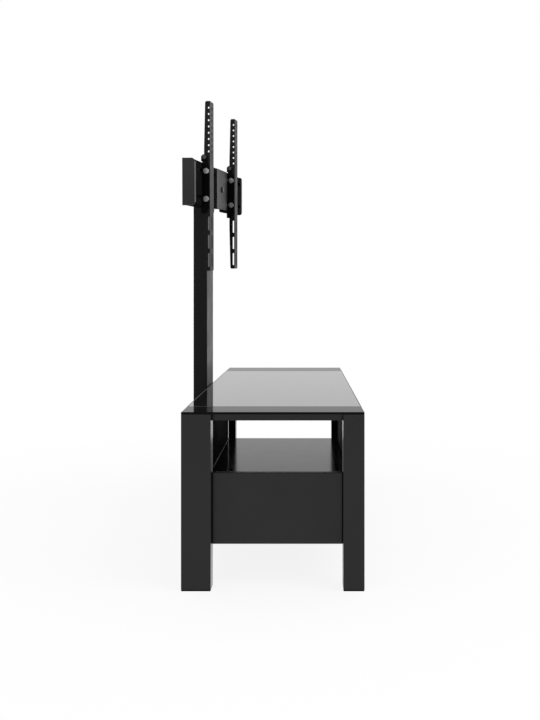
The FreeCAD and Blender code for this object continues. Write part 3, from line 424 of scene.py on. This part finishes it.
# The mount head's own axes, from its joints
JOINTS = {joint["name"]: joint for joint in frame["record"]["behaviour"]["joints"]}
HEAD_ALONG = Vector(JOINTS["slide_left"]["axis"]).normalized()
HEAD_BACK = Vector(JOINTS["level"]["axis"]).normalized()
HEAD_UP = HEAD_ALONG.cross(HEAD_BACK)
HEAD_MIDDLE = Vector(JOINTS["level"]["pos_m"])
ALONG, BACK, UP = range(3)


def head_point(along, back, up):
    return HEAD_MIDDLE + HEAD_ALONG * along + HEAD_BACK * back + HEAD_UP * up


def head_box(name):
    """A node's lowest and highest places in the head's axes."""
    places = [vertex.co - HEAD_MIDDLE for vertex in nodes[name].data.vertices]
    rows = [[place.dot(axis) for place in places] for axis in (HEAD_ALONG, HEAD_BACK, HEAD_UP)]
    return [min(row) for row in rows], [max(row) for row in rows]


# Rounded rims on the rail caps' front edges, coloured a lighter grey as a painted highlight along
# those edges
RIM_LENGTH = 0.014
RIM_PROUD = 0.0009
RIM_SINK = 0.0008
RIM_CORNER = 0.0085
RIM_STEPS = 8
RIM_TAPER = ((0.0, 0.35), (0.002, 0.8), (0.005, 1.0))


def cap_rim(outer, inner, front, low, high):
    """A half-round rim from outer to inner along the rail, thinning at both ends."""
    levels = [(low + rise, share) for rise, share in RIM_TAPER]
    levels += [(high - rise, share) for rise, share in reversed(RIM_TAPER)]
    foot = front + RIM_SINK

    def build(shape):
        rings = []
        for height, share in levels:
            ring = [head_point(inner, foot, height), head_point(outer, foot, height)]
            for step in range(RIM_STEPS + 1):
                turn = math.radians(180) * step / RIM_STEPS
                along = (outer + inner) / 2 + (outer - inner) / 2 * math.cos(turn)
                back = front - RIM_PROUD * share * math.sin(turn)
                ring.append(head_point(along, back, height))
            rings.append(ring)
        loft(shape, rings, False)

    return build


for side, end, inward in (("left", 0, RIM_LENGTH), ("right", 1, -RIM_LENGTH)):
    cap = head_box(f"rail_cap_{side}")
    outer = cap[end][ALONG]
    low, high = cap[0][UP] + RIM_CORNER, cap[1][UP] - RIM_CORNER
    build = cap_rim(outer, outer + inward, cap[0][BACK], low, high)
    mesh_piece(f"cap_rim_{side}", "rail", HIGHLIGHT_RIM, build)

# Turned details
TURNED_STEPS = 24


def turned(name, body, finish, centre, axis, profile):
    """A turned piece standing on centre along axis; a row marked six has a hexagon's outline."""
    first = axis.orthogonal().normalized()
    second = axis.cross(first)

    def build(shape):
        rings = []
        for radius, height, six in profile:
            ring = []
            for step in range(TURNED_STEPS):
                turn = math.radians(360) * step / TURNED_STEPS
                off = turn % math.radians(60) - math.radians(30)
                reach = radius / math.cos(off) if six else radius
                outward = first * math.cos(turn) + second * math.sin(turn)
                ring.append(centre + axis * height + outward * reach)
            rings.append(ring)
        loft(shape, rings, False)

    mesh_piece(name, body, finish, build)


# Profiles of turned details: radius, height, six
SOCKET = (
    (0.0068, -0.0002, False),
    (0.0068, 0.0003, False),
    (0.0062, 0.0006, False),
    (0.0036, 0.0006, False),
    (0.0031, 0.0005, True),
    (0.0030, 0.0001, True),
)
PAN_HEAD = (
    (0.0036, -0.0003, False),
    (0.0036, 0.0004, False),
    (0.0031, 0.0011, False),
    (0.0019, 0.0014, False),
    (0.0015, 0.0013, True),
    (0.0014, 0.0005, True),
)
PLUG = (
    (0.0082, -0.0015, False),
    (0.0088, -0.0002, False),
    (0.0106, 0.0, False),
    (0.0106, 0.0005, False),
    (0.0088, 0.0010, False),
    (0.0040, 0.0012, False),
)

# Sockets of the level bolt and the slide bolts
FORWARD = -HEAD_BACK
bolt_low, _ = head_box("level_bolt")
spot = head_point(0.0, bolt_low[BACK], 0.0)
turned("level_bolt_socket", "rail", DULL, spot, FORWARD, SOCKET)
for side in SIDES:
    bolt_low, bolt_high = head_box(f"slide_bolt_{side}")
    middle = [(low + high) / 2 for low, high in zip(bolt_low, bolt_high)]
    spot = head_point(middle[ALONG], bolt_low[BACK], middle[UP])
    name, body = f"slide_bolt_socket_{side}", f"carriage_{side}"
    turned(name, body, SCREW, spot, FORWARD, SOCKET)

# Screws along the back panel's upper edge
BACKWARD = Vector((0.0, 1.0, 0.0))
SCREW_PLACES = (-0.525, -0.4, -0.25, -0.115, 0.115, 0.25, 0.4, 0.525)
beam_low, _ = (Vector(corner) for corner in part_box("top_beam_rear"))
for number, across in enumerate(SCREW_PLACES, 1):
    spot = Vector((across, back_high.y, (beam_low.z + back_high.z) / 2))
    turned(f"panel_screw_{number}", ROOT, SCREW, spot, BACKWARD, PAN_HEAD)

# Plugs in the post's tool holes, behind its bolts
_, post_high = (Vector(corner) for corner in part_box("post"))
bolts_low, bolts_high = (Vector(corner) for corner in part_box("post_bolts"))
HEAD_RADIUS = 0.0065
PLASTIC = MATERIALS["black_plastic"]
for number, across in enumerate((bolts_low.x + HEAD_RADIUS, bolts_high.x - HEAD_RADIUS), 1):
    heights = {"low": bolts_low.z + HEAD_RADIUS, "high": bolts_high.z - HEAD_RADIUS}
    for level, height in heights.items():
        spot = Vector((across, post_high.y, height))
        name = f"post_plug_{level}_{number}"
        turned(name, ROOT, PLASTIC, spot, BACKWARD, PLUG)

# Edge trims of the post's cable openings, and their section as reach outward and rise
OPENING_REACH = 0.021
OPENING_ROUND = 0.014
OPENING_LEVELS = {"low": 0.4512, "high": 0.8306}
TRIM_SECTION = (
    (-0.0009, -0.0016),
    (-0.0009, 0.0004),
    (-0.0003, 0.0010),
    (0.0018, 0.0010),
    (0.0026, 0.0002),
    (0.0026, -0.0002),
)
TRIM_STEPS = 12


def opening_trim(level):
    """A ring with straight upper and lower runs round the opening at a level."""
    def build(shape):
        rings = []
        for middle, start in ((OPENING_REACH, -90), (-OPENING_REACH, 90)):
            for step in range(TRIM_STEPS + 1):
                turn = math.radians(start + 180 * step / TRIM_STEPS)
                ring = []
                for outward, proud in TRIM_SECTION:
                    reach = OPENING_ROUND + outward
                    across = middle + reach * math.cos(turn)
                    up = level + reach * math.sin(turn)
                    ring.append((across, post_high.y + proud, up))
                rings.append(ring)
        loft(shape, rings, True)

    return build


for name, level in OPENING_LEVELS.items():
    mesh_piece(f"opening_trim_{name}", ROOT, PLASTIC, opening_trim(level))

# Floor, fading to plain white away from the object
FLOOR_SIZE = 60
FLOOR_PAINT = (0.92, 0.92, 0.92, 1.0)
FADE_RANGE = (0.7, 1.7)
NEAR_GLOW = 0.87


def pale_floor():
    """White to the camera and to mirrors, with the object's shadow near it."""
    material = bpy.data.materials.new("pale_floor")
    material.use_nodes = True
    tree = Tree(material.node_tree)
    output = tree.add("ShaderNodeOutputMaterial")
    paint = tree.add("ShaderNodeBsdfDiffuse")
    paint.inputs["Color"].default_value = FLOOR_PAINT
    glow = tree.add("ShaderNodeEmission")
    glow.inputs["Color"].default_value = WHITE
    glow.inputs["Strength"].default_value = 1.0
    path = tree.add("ShaderNodeLightPath")
    mirrored = tree.combine(
        "MAXIMUM", path.outputs["Is Glossy Ray"], path.outputs["Is Transmission Ray"])
    seen = tree.combine("MAXIMUM", path.outputs["Is Camera Ray"], mirrored)
    away = tree.add("ShaderNodeVectorMath", operation="LENGTH")
    tree.link(tree.add("ShaderNodeTexCoord").outputs["Object"], away.inputs[0])
    fade = tree.spread(away.outputs["Value"], NEAR_GLOW, 1.0, *FADE_RANGE)
    share = tree.combine("MULTIPLY", seen, fade)
    shown = tree.mix(share, paint.outputs[0], glow.outputs[0])
    tree.link(shown, output.inputs["Surface"])
    return material


bpy.ops.mesh.primitive_plane_add(size=FLOOR_SIZE)
floor = bpy.context.object
floor.name = "floor"
floor.data.materials.append(pale_floor())

# Even studio light, weaker from behind the camera and from below, and a white backdrop
BEHIND_RANGE = (-0.8, 0.2)
BEHIND_LIGHT = 0.35
BELOW_RANGE = (0.03, 0.16)
BELOW_LIGHT = 0.75


def studio():
    """A world that lights the object by direction and is white to the camera."""
    world = bpy.data.worlds.new("studio")
    world.use_nodes = True
    tree = Tree(world.node_tree)
    output = tree.add("ShaderNodeOutputWorld")
    light = tree.add("ShaderNodeBackground")
    white = tree.add("ShaderNodeBackground")
    white.inputs["Strength"].default_value = 1.0
    for background in (light, white):
        background.inputs["Color"].default_value = WHITE
    split = tree.add("ShaderNodeSeparateXYZ")
    tree.link(tree.add("ShaderNodeTexCoord").outputs["Generated"], split.inputs[0])
    behind = tree.spread(split.outputs["X"], BEHIND_LIGHT, 1.0, *BEHIND_RANGE)
    below = tree.spread(split.outputs["Z"], BELOW_LIGHT, 1.0, *BELOW_RANGE)
    tree.link(tree.combine("MULTIPLY", behind, below), light.inputs["Strength"])
    path = tree.add("ShaderNodeLightPath")
    shown = tree.mix(path.outputs["Is Camera Ray"], light.outputs[0], white.outputs[0])
    tree.link(shown, output.inputs["Surface"])
    return world


scene.world = studio()


def lamp(name, place, target, size, power):
    """A square lamp at a place, turned to a target."""
    data = bpy.data.lights.new(name, "AREA")
    data.shape = "SQUARE"
    data.size = size
    data.energy = power
    item = bpy.data.objects.new(name, data)
    scene.collection.objects.link(item)
    item.location = place
    item.rotation_euler = (Vector(target) - Vector(place)).to_track_quat("-Z", "Y").to_euler()


lamp("key", place=(-1.6, -2.4, 3.0), target=(0.0, 0.0, 0.4), size=2.4, power=45.0)
lamp("fill", place=(-3.2, 1.6, 2.2), target=(0.0, 0.0, 0.5), size=2.0, power=18.0)

# Camera at the photograph's place, level with a shifted lens
camera_data = bpy.data.cameras.new("camera")
camera_data.sensor_fit = "AUTO"
camera_data.sensor_width = 36.0
camera_data.lens = 41.5
camera_data.shift_x = -0.0458
camera_data.shift_y = -0.0828
camera_data.clip_end = 200.0
camera = bpy.data.objects.new("camera", camera_data)
camera.location = (-2.411, -0.08746, 0.635)
camera.rotation_euler = (math.radians(90), 0.0, math.radians(-90))
scene.collection.objects.link(camera)
scene.camera = camera
